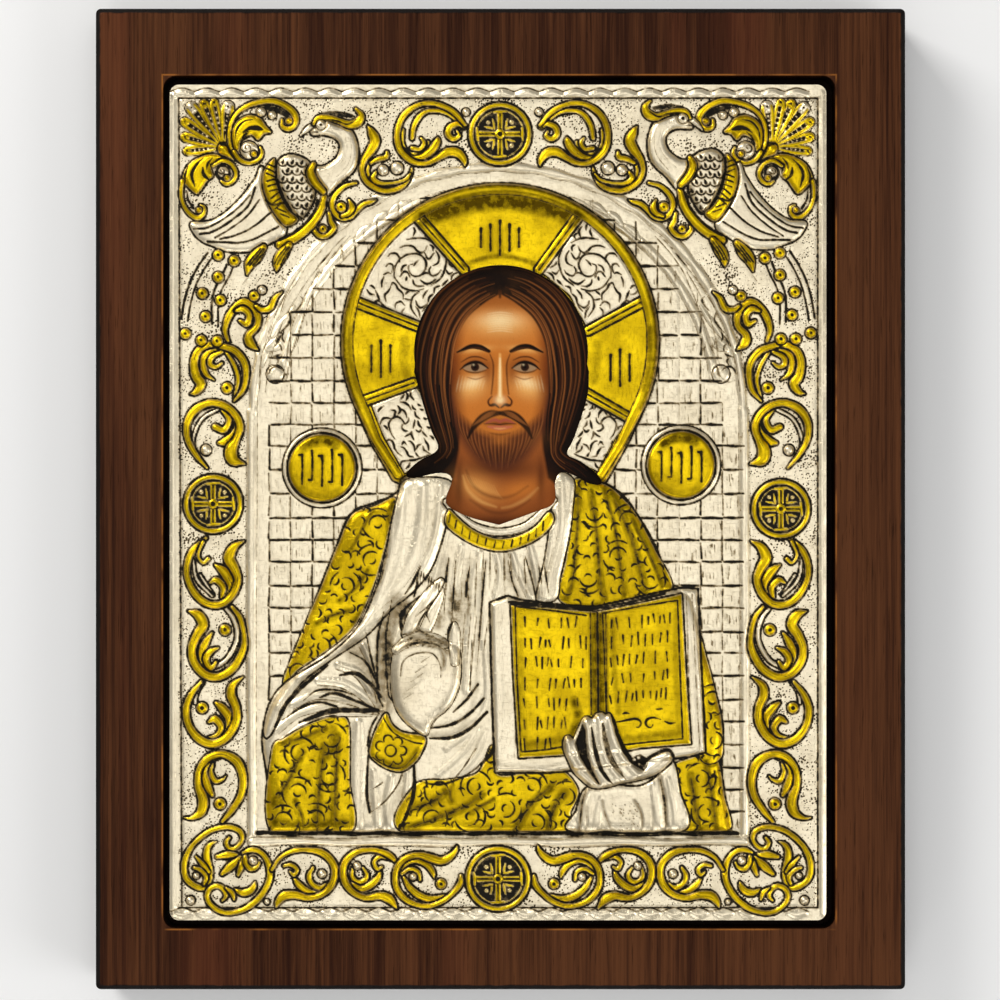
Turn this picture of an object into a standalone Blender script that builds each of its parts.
"""Icon panel: a wooden board, the painted panel in its recess, and the panel's chased silver cover.

The panel lies on its back. X runs to the right, Y to the picture's top, and Z out of its front.
The origin is the centre of the board's back. Lengths are in metres.
"""

from math import atan2, ceil, cos, hypot, pi, radians, sin

import bmesh
import bpy
import numpy as np
from mathutils import Vector
from mathutils.geometry import delaunay_2d_cdt

# The board
BOARD_WIDTH = 0.260
BOARD_HEIGHT = 0.315
BOARD_THICKNESS = 0.024
BOARD_CORNER = 0.0016
BOARD_CHAMFER = 0.0015
RECESS_DEPTH = 0.010
RECESS_CORNER = 0.0042
RECESS_MIDDLE = Vector((-0.0004, -0.0010))  # from the board's middle
SIDE_GROOVE = 0.0026         # open groove between the recess's side walls and the cover
END_GROOVE = 0.0029          # the same above and below the cover

# The cover
COVER_WIDTH = 0.2106
COVER_HEIGHT = 0.2680
COVER_CORNER = 0.0030
COVER_SHEET = 0.0012         # from its flat underside to the ground of the relief
COVER_SKIRT = 0.0060         # the edge turned down over the panel
SKIRT_WALL = 0.0010
TOUCH_GAP = 0.0003           # kept between pieces that touch
COVER_SLIP = Vector((-0.0004, -0.0001))     # from the recess's middle
COVER_FACETS = 9600

# The painted panel
PANEL_THICKNESS = 0.0083

# Relief, as heights over the cover's ground
RIM_LIFT = 0.0008
BAND_LIFT = 0.0013
HALO_LIFT = 0.0021
HALO_DISH = 0.0016
RING_LIFT = 0.0007
SCROLL_LIFT = 0.0015
LEAF_LIFT = 0.0012
MEDAL_LIFT = 0.0018
BIRD_LIFT = 0.0018
BODY_LIFT = 0.0024
CLOTH_LIFT = 0.0006
FOLD_LIFT = 0.0008
BOOK_LIFT = 0.0014
PAGE_LIFT = 0.0005
HAND_LIFT = 0.0021
FINGER_LIFT = 0.0012

# The relief's pattern is drawn on a sheet of squares. The sheet's x runs right and its y runs down, and the
# drawing's middle lies on the cover's middle.
DRAWING_WIDE = 657.0
DRAWING_TALL = 836.0
DRAWING_MIDDLE = (498.0, 502.5)
SQUARE_WIDE = COVER_WIDTH / DRAWING_WIDE
SQUARE_TALL = COVER_HEIGHT / DRAWING_TALL
SHEET_STEP = 1.5             # squares between the relief's samples
GRID_STEP = 2.6              # squares between the mesh's corners, before the facets are thinned
EDGE_ROOM = 1.3              # squares that the grid keeps from an edge
LEAST_DEPTH = 1e-6           # a triangle along a straight edge that is flatter is no triangle

COVER_MIDDLE = RECESS_MIDDLE + COVER_SLIP
COVER_BACK = BOARD_THICKNESS - RECESS_DEPTH + 2 * TOUCH_GAP + PANEL_THICKNESS
COVER_GROUND = COVER_BACK + COVER_SHEET


def material(name, colour, roughness, metallic):
    """A plain finish: one colour, roughness and metallic value."""
    finish = bpy.data.materials.new(name)
    finish.use_nodes = True
    shader = finish.node_tree.nodes["Principled BSDF"]
    shader.inputs["Base Color"].default_value = (*colour, 1.0)
    shader.inputs["Roughness"].default_value = roughness
    shader.inputs["Metallic"].default_value = metallic
    return finish


def add_piece(name, mesh, finish):
    """A mesh as a piece of the panel."""
    faces = bmesh.new()
    faces.from_mesh(mesh)
    bmesh.ops.recalc_face_normals(faces, faces=faces.faces)
    faces.to_mesh(mesh)
    faces.free()
    mesh.materials.append(finish)
    piece = bpy.data.objects.new(name, mesh)
    bpy.context.scene.collection.objects.link(piece)
    return piece


def rounded(width, height, corner, steps=5):
    """The corners of a rectangle with round corners, anticlockwise."""
    outline = []
    for quarter, (side, end) in enumerate(((1, 1), (-1, 1), (-1, -1), (1, -1))):
        middle = Vector((side * (width / 2 - corner), end * (height / 2 - corner)))
        for step in range(steps + 1):
            turn = (quarter + step / steps) * pi / 2
            outline.append(middle + corner * Vector((cos(turn), sin(turn))))
    return outline


def loft(name, rings):
    """A closed body through rings of the same count, each an outline and its height."""
    mesh = bpy.data.meshes.new(name)
    body = bmesh.new()
    loops = [[body.verts.new((point.x, point.y, height)) for point in outline] for outline, height in rings]
    count = len(loops[0])
    for low, high in zip(loops, loops[1:]):
        for place in range(count):
            after = (place + 1) % count
            body.faces.new((low[place], low[after], high[after], high[place]))
    body.faces.new(loops[0][::-1])
    body.faces.new(loops[-1])
    bmesh.ops.triangulate(body, faces=body.faces)
    body.to_mesh(mesh)
    body.free()
    return mesh


def shifted(outline, offset):
    return [point + offset for point in outline]


def make_board():
    """The board, with a blackened chamfer round its front and a recess routed into it."""
    outer = rounded(BOARD_WIDTH, BOARD_HEIGHT, BOARD_CORNER)
    front = rounded(BOARD_WIDTH - 2 * BOARD_CHAMFER, BOARD_HEIGHT - 2 * BOARD_CHAMFER, BOARD_CORNER)
    recess = rounded(COVER_WIDTH + 2 * SIDE_GROOVE, COVER_HEIGHT + 2 * END_GROOVE, RECESS_CORNER)
    recess = shifted(recess, RECESS_MIDDLE)
    rings = [
        (outer, 0.0),
        (outer, BOARD_THICKNESS - BOARD_CHAMFER),
        (front, BOARD_THICKNESS),
        (recess, BOARD_THICKNESS),
        (recess, BOARD_THICKNESS - RECESS_DEPTH),
    ]
    add_piece("board", loft("board", rings), material("stained_wood", (0.095, 0.034, 0.014), 0.5, 0.0))


def make_painted_panel():
    """The panel under the cover, which stands on the recess's floor inside the cover's skirt."""
    inset = 2 * (SKIRT_WALL + TOUCH_GAP)
    outline = shifted(rounded(COVER_WIDTH - inset, COVER_HEIGHT - inset, COVER_CORNER), COVER_MIDDLE)
    floor = BOARD_THICKNESS - RECESS_DEPTH + TOUCH_GAP
    rings = [(outline, floor), (outline, floor + PANEL_THICKNESS)]
    add_piece("painted_panel", loft("painted_panel", rings), material("paint", (0.30, 0.13, 0.05), 0.4, 0.0))


def curve(points, step=3.0, closed=False):
    """A smooth line through a few points of the drawing, as evenly spaced samples."""
    points = [np.array(point, float) for point in points]
    if closed:
        line = [points[-1], *points, points[0], points[1]]
    else:
        line = [2 * points[0] - points[1], *points, 2 * points[-1] - points[-2]]
    samples = []
    for before, start, end, after in zip(line, line[1:], line[2:], line[3:]):
        count = max(1, ceil(hypot(*(end - start)) / step))
        for part in np.arange(count) / count:
            samples.append(
                0.5 * (2 * start + (end - before) * part
                       + (2 * before - 5 * start + 4 * end - after) * part ** 2
                       + (3 * (start - end) + after - before) * part ** 3)
            )
    if not closed:
        samples.append(points[-1])
    return np.array(samples)


def arc(middle, radius, start, sweep, step=3.0):
    """A round line of the drawing. Angles are in degrees, anticlockwise from the right."""
    count = max(3, ceil(abs(radians(sweep)) * radius / step))
    turns = np.radians(start + sweep * np.arange(count + 1) / count)
    return np.column_stack((middle[0] + radius * np.cos(turns), middle[1] - radius * np.sin(turns)))


def spiral(middle, radius, start, sweep, close=0.25):
    """A line that winds in to a share of its radius."""
    line = arc(middle, radius, start, sweep, 2.0)
    shares = np.linspace(1, close, len(line))[:, None]
    return middle + (line - middle) * shares


def mirrored(points):
    """The same points in the drawing's other half."""
    points = np.array(points, float)
    return np.column_stack((2 * DRAWING_MIDDLE[0] - points[:, 0], points[:, 1]))


def inside(outline, x, y):
    """Where the places x, y lie within a closed outline."""
    within = np.zeros(np.shape(x), bool)
    for start, end in zip(outline, np.roll(outline, -1, 0)):
        crosses = (start[1] > y) != (end[1] > y)
        slope = (end[0] - start[0]) / ((end[1] - start[1]) or 1e-9)
        within ^= crosses & (x < start[0] + (y - start[1]) * slope)
    return within


def off_line(start, end, x, y):
    """How far the places x, y lie from a straight line, and at which share of it."""
    along = end - start
    share = np.clip(((x - start[0]) * along[0] + (y - start[1]) * along[1]) / max(along @ along, 1e-9), 0, 1)
    return np.hypot(x - start[0] - share * along[0], y - start[1] - share * along[1]), share


class Relief:
    """The cover's heights over its ground, as samples over the drawing."""

    def __init__(self):
        self.x, self.y = (
            np.arange(middle - size / 2 - SHEET_STEP, middle + size / 2 + SHEET_STEP, SHEET_STEP)
            for middle, size in zip(DRAWING_MIDDLE, (DRAWING_WIDE, DRAWING_TALL))
        )
        self.height = np.zeros((len(self.y), len(self.x)))
        self.level = self.height.copy()

    def settle(self):
        """What is drawn next stands on what is there."""
        self.level = self.height.copy()

    def window(self, points, reach):
        """The samples near some points: their part of the sheet, and their places."""
        low, high = points.min(0) - reach, points.max(0) + reach
        rows = slice(*np.searchsorted(self.y, (low[1], high[1])))
        columns = slice(*np.searchsorted(self.x, (low[0], high[0])))
        return (rows, columns), *np.meshgrid(self.x[columns], self.y[rows])

    def raise_to(self, part, where, heights):
        self.height[part] = np.where(where, np.maximum(self.height[part], heights), self.height[part])

    def stroke(self, line, width, lift, tip=0.3):
        """A rounded ridge along a line, which narrows to a share of its width at its end."""
        line = np.asarray(line, float)
        halves = width / 2 * np.linspace(1, tip, len(line))
        for start, end, half, last in zip(line, line[1:], halves, halves[1:]):
            part, x, y = self.window(np.array((start, end)), max(half, last))
            far, share = off_line(start, end, x, y)
            local = half + (last - half) * share
            crest = lift * np.minimum(1, 0.4 + 0.6 * local / max(halves))
            rise = crest * np.sqrt(np.clip(1 - (far / local) ** 2, 0, 1))
            self.raise_to(part, far < local, self.level[part] + rise)

    def patch(self, outline, lift, edge=6.0):
        """A raised area with a rounded edge."""
        outline = np.asarray(outline, float)
        part, x, y = self.window(outline, 1)
        far = np.full(x.shape, np.inf)
        for start, end in zip(outline, np.roll(outline, -1, 0)):
            far = np.minimum(far, off_line(start, end, x, y)[0])
        rise = lift * np.sqrt(1 - (1 - np.clip(far / edge, 0, 1)) ** 2)
        self.raise_to(part, inside(outline, x, y), self.level[part] + rise)

    def at(self, places):
        """The heights at places of the drawing, read between the samples."""
        column = np.clip((places[:, 0] - self.x[0]) / SHEET_STEP, 0, len(self.x) - 1.001)
        row = np.clip((places[:, 1] - self.y[0]) / SHEET_STEP, 0, len(self.y) - 1.001)
        left, top = column.astype(int), row.astype(int)
        across, down = column - left, row - top
        upper = self.height[top, left] * (1 - across) + self.height[top, left + 1] * across
        lower = self.height[top + 1, left] * (1 - across) + self.height[top + 1, left + 1] * across
        return upper * (1 - down) + lower * down


def both(draw, line, *sizes, **options):
    """The same mark in the left and the right half."""
    draw(line, *sizes, **options)
    draw(mirrored(line), *sizes, **options)


def draw_rims(relief):
    """The raised rim round the cover, and the bands that frame the field below the arch."""
    reach = (DRAWING_WIDE / 2 - 5, DRAWING_TALL / 2 - 6)
    corners = np.array([(-1, -1), (1, -1), (1, 1), (-1, 1)]) * reach + DRAWING_MIDDLE
    for start, end in zip(corners, np.roll(corners, -1, 0)):
        relief.stroke(np.linspace(start, end, 60), 10, RIM_LIFT, 1)
    for x in (252, 744):
        relief.stroke(np.linspace((x, 412), (x, 838), 50), 11, BAND_LIFT, 1)
    relief.stroke(np.linspace((250, 840), (747, 840), 50), 11, BAND_LIFT, 1)
    relief.stroke(arc((498, 412), 246, 0, 180), 11, BAND_LIFT, 1)
    relief.stroke(arc((498, 407), 220, 7, 166), 6, BAND_LIFT * 0.8, 1)


def tendril(relief, foot, crown, tip, swell=5.0):
    """A scroll of the border: a stem that swings round from its foot to a leaf's tip, and what curls in it."""
    foot, crown, tip = (np.array(point, float) for point in (foot, crown, tip))
    mouth = (foot + tip) / 2
    axis = (crown - mouth) / max(hypot(*(crown - mouth)), 1e-9)
    reach = hypot(*(crown - mouth))
    side = (foot - tip) / max(hypot(*(foot - tip)), 1e-9)
    half = hypot(*(foot - tip)) / 2
    wide = half + swell
    loop = [
        foot,
        mouth + side * wide + axis * reach * 0.35,
        mouth + side * wide * 0.85 + axis * reach * 0.78,
        crown,
        mouth - side * wide * 0.85 + axis * reach * 0.78,
        mouth - side * wide + axis * reach * 0.38,
        tip,
    ]
    both(relief.stroke, curve(loop), 8.5, SCROLL_LIFT, tip=0.35)
    heart = mouth + axis * reach * 0.58
    curl_from = atan2(-(crown - heart)[1], (crown - heart)[0])
    hand = 1 if side[0] * axis[1] - side[1] * axis[0] > 0 else -1
    curl = spiral(heart, reach * 0.26, np.degrees(curl_from), 420 * hand)
    both(relief.stroke, np.vstack((crown, curl)), 6, SCROLL_LIFT)
    leaf = curve([heart + side * wide * 0.25, mouth + side * wide * 0.45 + axis * reach * 0.3, mouth - axis * 2])
    both(relief.stroke, leaf, 10, LEAF_LIFT, tip=0.2)


def draw_borders(relief):
    """The scrolls that climb the side borders, run along the bottom border and fill the top one."""
    side_scrolls = [
        ((226, 341), (244, 302), (258, 350)),
        ((233, 399), (220, 344), (195, 393)),
        ((207, 468), (212, 401), (243, 465)),
        ((204, 537), (219, 607), (243, 540)),
        ((236, 608), (214, 681), (192, 611)),
        ((203, 681), (215, 746), (242, 678)),
        ((222, 821), (220, 753), (191, 817)),
    ]
    low_scrolls = [
        ((272, 868), (337, 875), (278, 905)),
        ((396, 863), (343, 872), (395, 905)),
        ((460, 880), (397, 876), (456, 849)),
        ((229, 899), (272, 872), (246, 852)),
        ((206, 832), (186, 868), (216, 866)),
    ]
    high_scrolls = [
        ((464, 119), (397, 135), (464, 162)),
        ((366, 128), (380, 190), (410, 168)),
        ((356, 184), (331, 202), (372, 204)),
    ]
    for foot, crown, tip in side_scrolls + low_scrolls + high_scrolls:
        tendril(relief, foot, crown, tip)
    for bead in ((191, 901), (267, 903)):
        both(relief.stroke, arc(bead, 2.5, 0, 350, 2), 5, LEAF_LIFT, tip=1)


def draw_corner(relief):
    """A quarter shell with ribs and beads, and the two curled leaves beside it."""
    hub = np.array((224.0, 148.0))
    for rib in range(7):
        turn = radians(92 + rib * 15.5)
        reach = 47 + 6 * cos(4 * (turn - radians(138)))
        tip = hub + reach * np.array((cos(turn), -sin(turn)))
        both(relief.stroke, np.linspace(tip, hub, 6), 6.5, SCROLL_LIFT, tip=0.4)
        both(relief.stroke, arc(tip, 1.6, 0, 350, 2), 5, SCROLL_LIFT * 1.1, tip=1)
    tall_leaf = [(251, 163), (236, 156), (232, 135), (243, 112), (265, 103), (285, 110), (289, 122), (281, 126)]
    low_leaf = [(225, 187), (236, 180), (231, 163), (213, 159), (192, 170), (183, 192), (190, 214), (200, 216),
                (197, 207)]
    for leaf, heart in ((tall_leaf, (251, 151)), (low_leaf, (224, 177))):
        both(relief.stroke, curve(leaf), 9, SCROLL_LIFT, tip=0.4)
        both(relief.stroke, spiral(heart, 10, 120, -400), 5, LEAF_LIFT)
    for lobe in (((241, 140), (254, 117), (272, 129)), ((243, 146), (252, 128), (262, 138)),
                 ((190, 196), (199, 171), (215, 165)), ((202, 196), (207, 178), (217, 170))):
        both(relief.stroke, curve(lobe), 8, LEAF_LIFT)


def draw_medallions(relief):
    """Round bosses with a ring: one in the middle of each border, and two in the field."""
    for middle in ((500, 133), (213, 504), (781, 509), (498, 879)):
        relief.stroke(arc(middle, 27, 0, 360), 9, MEDAL_LIFT, tip=1)
        for quarter in range(4):
            turn = radians(90 * quarter)
            tip = np.array(middle) + 20 * np.array((cos(turn), sin(turn)))
            relief.stroke(np.linspace(middle, tip, 7), 6, MEDAL_LIFT * 0.8, tip=1.6)
            knot = np.array(middle) + 14 * np.array((cos(turn + pi / 4), sin(turn + pi / 4)))
            relief.stroke(arc(knot, 3.5, 0, 350, 2), 4, MEDAL_LIFT * 0.7, tip=1)
    for middle in ((322, 468), (681, 465)):
        relief.patch(arc(middle, 38, 0, 354), MEDAL_LIFT * 0.55, edge=5)
        relief.stroke(arc(middle, 35, 0, 360), 7, MEDAL_LIFT, tip=1)


def draw_birds(relief):
    """A bird in each upper corner, which looks back, and the ribbon of small roundels beneath it."""
    wing = curve([(693, 157), (709, 150), (724, 158), (718, 185), (705, 213), (692, 186)], closed=True)
    body = curve([(650, 137), (668, 122), (690, 128), (692, 160), (700, 186), (724, 222), (719, 240), (694, 222),
                  (664, 184), (650, 160)], closed=True)
    head = curve([(668, 112), (690, 108), (702, 128), (688, 134), (668, 132)], closed=True)
    tail = curve([(722, 170), (741, 166), (772, 192), (806, 223), (784, 238), (748, 240), (716, 226)], closed=True)
    for shape, lift in ((tail, BIRD_LIFT * 0.7), (body, BIRD_LIFT), (wing, BIRD_LIFT * 1.3), (head, BIRD_LIFT)):
        both(relief.patch, shape, lift, edge=7)
    both(relief.stroke, curve([(690, 107), (665, 101), (645, 113), (653, 121)]), 7, BIRD_LIFT, tip=0.5)
    for spread in range(3):
        feather = curve([(733, 178 + 14 * spread), (762, 200 + 10 * spread), (800 - 8 * spread, 226 + 5 * spread)])
        both(relief.stroke, feather, 5, BIRD_LIFT)
    for leg, claw in (((712, 238), (718, 270)), ((728, 234), (740, 282))):
        both(relief.stroke, np.linspace(leg, claw, 6), 9, BIRD_LIFT * 0.7, tip=0.7)
        toes = np.linspace((claw[0] - 10, claw[1] + 6), (claw[0] + 9, claw[1] + 8), 5)
        both(relief.stroke, toes, 8, LEAF_LIFT, tip=1)
    roundels = ((765, 258), (780, 253), (780, 275), (795, 292), (778, 298), (792, 315), (781, 339), (796, 339),
                (811, 333))
    for middle in roundels:
        both(relief.stroke, arc(middle, 3.6, 0, 350, 2), 5.5, SCROLL_LIFT * 0.8, tip=1)


def draw_halo(relief):
    """The dished halo: a rim, three arms between ridges, and leafy scrolls in the fields between them."""
    middle = (500, 342)
    part, x, y = relief.window(arc(middle, 158, 0, 350), 1)
    share = np.hypot(x - middle[0], y - middle[1]) / 158
    dish = HALO_LIFT - HALO_DISH * np.clip((1 - share) / 0.5, 0, 1) ** 0.8
    relief.raise_to(part, share < 1, dish)
    relief.settle()
    relief.stroke(arc(middle, 152, 0, 360), 10, RING_LIFT, tip=1)
    dividers = (((416, 213), (464, 269)), ((585, 206), (539, 269)), ((351, 300), (421, 327)), ((356, 410), (413, 385)),
                ((651, 298), (587, 331)), ((590, 396), (640, 430)))
    for start, end in dividers:
        relief.stroke(np.linspace(start, end, 12), 9, RING_LIFT, tip=1)
    for heart in ((415, 268), (590, 268), (403, 425), (596, 432)):
        relief.stroke(spiral(heart, 17, 60, 500), 6, RING_LIFT)


def folds(relief, first, last, count, width, lift=FOLD_LIFT):
    """Ridges of cloth, spread evenly from one line to another."""
    first, last = curve(first, 4), curve(last, 4)
    length = max(len(first), len(last))
    spread = [np.column_stack([np.interp(np.linspace(0, 1, length), np.linspace(0, 1, len(line)), line[:, axis])
                               for axis in (0, 1)]) for line in (first, last)]
    for share in np.linspace(0, 1, count):
        relief.stroke(spread[0] * (1 - share) + spread[1] * share, width, lift, tip=0.5)


def draw_figure(relief):
    """The dressed figure in half length, with one hand raised and an open book in the other."""
    body = [(270, 834), (268, 780), (265, 735), (286, 682), (322, 585), (352, 514), (398, 497), (412, 470), (500, 440),
            (592, 470), (606, 484), (637, 515), (657, 552), (690, 625), (714, 690), (720, 760), (729, 834)]
    relief.patch(curve(body), BODY_LIFT, edge=13)
    relief.settle()
    gold_shoulder = [(395, 497), (352, 514), (322, 585), (286, 682), (330, 648), (372, 590), (391, 520)]
    relief.patch(curve(gold_shoulder, closed=True), CLOTH_LIFT, edge=7)
    right_shoulder = [(573, 481), (605, 486), (637, 518), (672, 588), (600, 603), (558, 596), (572, 520)]
    relief.patch(curve(right_shoulder, closed=True), CLOTH_LIFT, edge=7)
    folds(relief, [(405, 492), (382, 570), (340, 645), (275, 722)],
          [(447, 490), (420, 570), (365, 634), (292, 690)], 4, 12)
    folds(relief, [(283, 738), (335, 726), (384, 716)], [(398, 612), (392, 660), (392, 708)], 6, 13)
    folds(relief, [(452, 545), (430, 600)], [(548, 545), (552, 598)], 6, 11)
    folds(relief, [(282, 760), (292, 828)], [(338, 730), (345, 828)], 4, 11)
    folds(relief, [(375, 765), (378, 828)], [(405, 780), (402, 828)], 2, 12)
    folds(relief, [(486, 738), (450, 785), (412, 826)], [(570, 792), (562, 808), (550, 828)], 5, 12)
    folds(relief, [(580, 700), (590, 828)], [(668, 775), (672, 828)], 4, 13)
    folds(relief, [(708, 672), (708, 826)], [(716, 700), (722, 826)], 2, 9)
    relief.stroke(curve([(449, 508), (470, 534), (500, 542), (530, 534), (553, 508)]), 13, FOLD_LIFT * 1.2, tip=1)
    relief.stroke(curve([(572, 484), (566, 535), (556, 596)]), 12, FOLD_LIFT, tip=0.8)
    relief.settle()
    book = [(491, 603), (594, 607), (696, 591), (703, 752), (600, 765), (495, 771)]
    relief.patch(book, BOOK_LIFT, edge=6)
    relief.settle()
    for page in ([(512, 607), (592, 612), (590, 712), (519, 752)], [(602, 612), (680, 597), (685, 738), (608, 716)]):
        relief.patch(page, PAGE_LIFT, edge=8)
    relief.settle()
    draw_hands(relief)


def draw_hands(relief):
    """The raised hand with its cuff, and the fingers that hold the book's lower edge."""
    cuff = [(386, 712), (425, 736), (420, 756), (400, 772), (371, 757), (375, 735)]
    relief.patch(curve(cuff, closed=True), HAND_LIFT * 0.8, edge=9)
    palm = [(408, 722), (396, 686), (400, 650), (424, 636), (452, 646), (461, 676), (450, 712), (432, 740)]
    relief.patch(curve(palm, closed=True), HAND_LIFT, edge=14)
    raised = ([(418, 652), (426, 615), (437, 579)], [(434, 650), (442, 616), (446, 590)],
              [(450, 664), (457, 640), (456, 622), (446, 618)], [(457, 684), (468, 668), (463, 652)],
              [(404, 672), (412, 640), (424, 626)])
    for finger in raised:
        relief.stroke(curve(finger), 13, HAND_LIFT + FINGER_LIFT * 0.4, tip=0.75)
    back = [(588, 786), (598, 762), (640, 758), (664, 768), (652, 790), (640, 830), (596, 830)]
    relief.patch(curve(back, closed=True), HAND_LIFT, edge=12)
    holding = ([(603, 782), (594, 750), (585, 718)], [(614, 780), (606, 748), (597, 715)],
               [(626, 776), (618, 746), (608, 714)], [(597, 790), (580, 766), (567, 741)],
               [(641, 776), (656, 768), (669, 753)])
    for finger in holding:
        relief.stroke(curve(finger), 12, HAND_LIFT * 0.6 + FINGER_LIFT, tip=0.7)


def face_opening():
    """The outline, on the drawing, of the hole that shows the painted head and neck."""
    crown = arc((501, 352), 87, -8, 196, 9.0)
    left = curve([(414, 372), (423, 404), (431, 430), (438, 449), (419, 461), (406, 474), (413, 478), (441, 473),
                  (452, 479), (446, 498), (449, 507), (469, 517), (499, 525)], 9.0)
    right = curve([(499, 525), (532, 513), (554, 503), (555, 482), (561, 472), (573, 475), (590, 484), (602, 484),
                   (597, 474), (580, 461), (567, 454), (574, 438), (587, 398), (589, 372)], 9.0)
    return np.vstack((crown, left, right[1:]))


def on_cover(drawn):
    """Places of the drawing as places on the cover."""
    drawn = (np.asarray(drawn) - DRAWING_MIDDLE) * (SQUARE_WIDE, -SQUARE_TALL)
    return [Vector(place) + COVER_MIDDLE for place in drawn]


def on_drawing(places):
    """Places on the cover as places of the drawing."""
    places = np.array([tuple(place - COVER_MIDDLE) for place in places])
    return places / (SQUARE_WIDE, -SQUARE_TALL) + DRAWING_MIDDLE


def grid_places(opening):
    """The mesh's corners on the drawing, clear of the cover's edge and of the opening's."""
    reach = (DRAWING_WIDE / 2 - EDGE_ROOM, DRAWING_TALL / 2 - EDGE_ROOM)
    x, y = np.meshgrid(*(np.arange(middle - half, middle + half, GRID_STEP)
                         for middle, half in zip(DRAWING_MIDDLE, reach)))
    far = np.full(x.shape, np.inf)
    for start, end in zip(opening, np.roll(opening, -1, 0)):
        far = np.minimum(far, off_line(start, end, x, y)[0])
    corner = COVER_CORNER / SQUARE_WIDE
    past = np.hypot(*(np.maximum(np.abs(place - middle) - (half - corner), 0)
                      for place, middle, half in zip((x, y), DRAWING_MIDDLE, reach)))
    kept = ~inside(opening, x, y) & (far > EDGE_ROOM) & (past < corner)
    return np.column_stack((x[kept], y[kept]))


def web(loops, places):
    """Triangles between an outer and an inner loop, with further corners at the given places."""
    corners = [corner for loop in loops for corner in loop] + places
    edges, first = [], 0
    for loop in loops:
        edges += [(first + place, first + (place + 1) % len(loop)) for place in range(len(loop))]
        first += len(loop)
    corners, _, faces = delaunay_2d_cdt(corners, edges, [], 0, 1e-9)[:3]
    triangles = np.array([tuple(corner) for corner in corners])[np.array(faces)]
    holed = inside(np.array([tuple(corner) for corner in loops[1]]), *triangles.mean(axis=1).T)
    sides = np.roll(triangles, -1, 1) - triangles
    doubled = np.abs(sides[:, 0, 0] * sides[:, 1, 1] - sides[:, 0, 1] * sides[:, 1, 0])
    depths = doubled / np.hypot(sides[:, :, 0], sides[:, :, 1]).max(axis=1)
    return corners, [face for face, out, depth in zip(faces, holed, depths) if not out and depth > LEAST_DEPTH]


def cover_outline():
    """The cover's outline, with corners along its straight sides too."""
    outline = rounded(COVER_WIDTH, COVER_HEIGHT, COVER_CORNER)
    points = []
    for start, end in zip(outline, outline[1:] + outline[:1]):
        count = max(1, round((end - start).length / (GRID_STEP * SQUARE_TALL)))
        points += [start.lerp(end, place / count) for place in range(count)]
    return shifted(points, COVER_MIDDLE)


def draw_relief():
    """The whole relief, from the ground up."""
    relief = Relief()
    for draw in (draw_rims, draw_borders, draw_corner, draw_medallions, draw_birds, draw_halo):
        draw(relief)
    relief.settle()
    draw_figure(relief)
    return relief


def make_silver_cover():
    """The chased cover: the relief on top, flat under it, and a skirt round the panel's edges."""
    relief = draw_relief()
    opening = face_opening()
    outer, hole = cover_outline(), on_cover(opening)
    shrink = Vector((1 - 2 * SKIRT_WALL / COVER_WIDTH, 1 - 2 * SKIRT_WALL / COVER_HEIGHT))
    inner = [COVER_MIDDLE + (place - COVER_MIDDLE) * shrink for place in outer]
    top_places, top_faces = web([outer, hole], on_cover(grid_places(opening)))
    back_places, back_faces = web([inner, hole], [])

    body = bmesh.new()
    heights = COVER_GROUND + relief.at(on_drawing(top_places))
    top = [body.verts.new((*place, height)) for place, height in zip(top_places, heights)]
    back = [body.verts.new((*place, COVER_BACK)) for place in back_places]
    hems = [[body.verts.new((*place, COVER_GROUND - COVER_SKIRT)) for place in loop] for loop in (outer, inner)]
    for corners, faces in ((top, top_faces), (back, back_faces)):
        for face in faces:
            body.faces.new([corners[corner] for corner in face])
    bands = list(zip((top, *hems), (*hems, back), [range(len(outer))] * 3))
    bands.append((top, back, range(len(outer), len(outer) + len(hole))))
    for upper, lower, ring in bands:
        for place, after in zip(ring, (*ring[1:], ring[0])):
            body.faces.new((upper[place], upper[after], lower[after], lower[place]))
    bmesh.ops.triangulate(body, faces=[face for face in body.faces if len(face.verts) > 3])
    mesh = bpy.data.meshes.new("silver_cover")
    body.to_mesh(mesh)
    body.free()

    cover = add_piece("silver_cover", mesh, material("chased_silver", (0.80, 0.74, 0.62), 0.35, 1.0))
    thinned = cover.modifiers.new("facets", "DECIMATE")
    thinned.ratio = COVER_FACETS / len(mesh.polygons)


for old in list(bpy.data.objects):
    bpy.data.objects.remove(old, do_unlink=True)
make_board()
make_painted_panel()
make_silver_cover()
